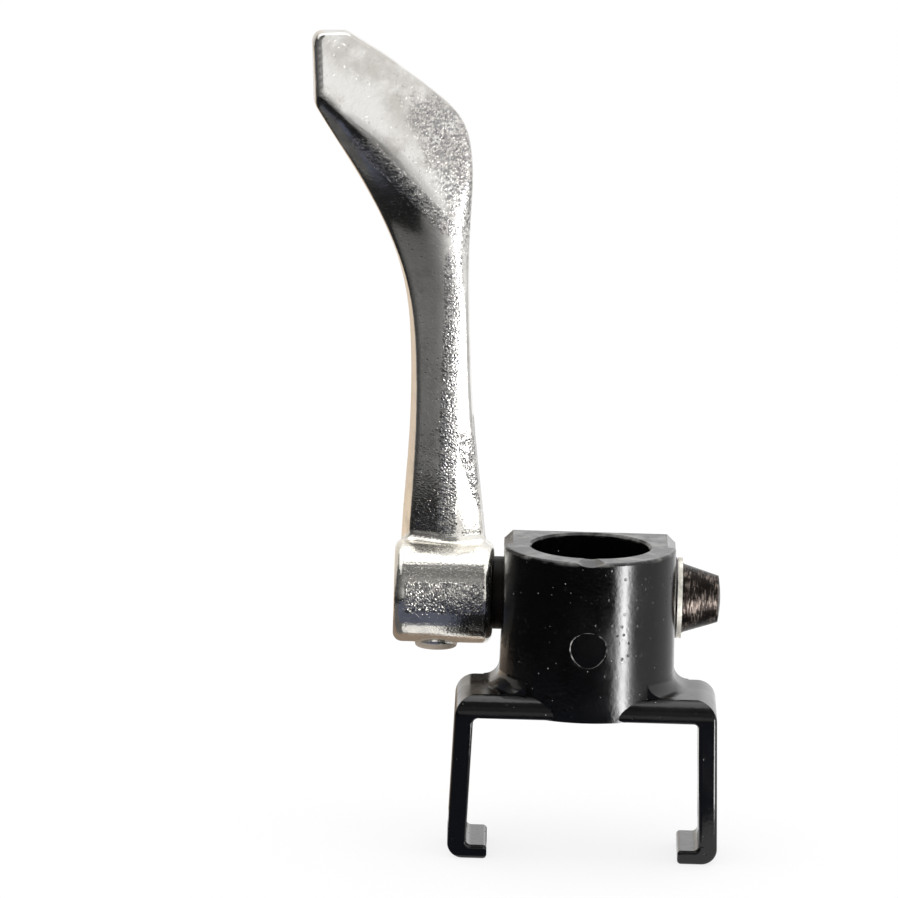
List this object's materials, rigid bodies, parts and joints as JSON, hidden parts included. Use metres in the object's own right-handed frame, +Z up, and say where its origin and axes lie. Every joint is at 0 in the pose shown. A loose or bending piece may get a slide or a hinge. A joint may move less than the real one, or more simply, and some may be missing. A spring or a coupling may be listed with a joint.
{
  "type": "cam lever",
  "caption": "Quick-release cam lever: a cast saddle with hooked legs clips over a rail, and the lever turns a cross shaft that locks a waisted stud in the upright bore.",
  "frame": {"origin": "on the axis of the stud bore, in the plane of the saddle's underside", "axes": "+Z up the bore towards the boss's top face, +X along the cam shaft away from the lever, +Y back"},
  "size_m": [0.0556, 0.0271, 0.1044],
  "materials": {
    "black_enamel": "gloss black enamel with light orange peel",
    "blackened_steel": "blackened, scratched",
    "polished_casting": "tumble polished, pitted",
    "spring_steel": "dark spring steel",
    "zinc_plate": "dull zinc plate"
  },
  "bodies": {
    "base": {"housing": "black_enamel"},
    "cam": {"cam_shaft": "blackened_steel", "lever": "polished_casting", "lever_pin": "spring_steel", "wave_washer": "spring_steel", "snap_ring": "zinc_plate"}
  },
  "joints": [
    {"name": "lever_turn", "type": "hinge", "parent": "base", "child": "cam", "pos_m": [0, 0.00865, 0.0126], "axis": [1, 0, 0], "range_deg": [0, 100]}
  ]
}
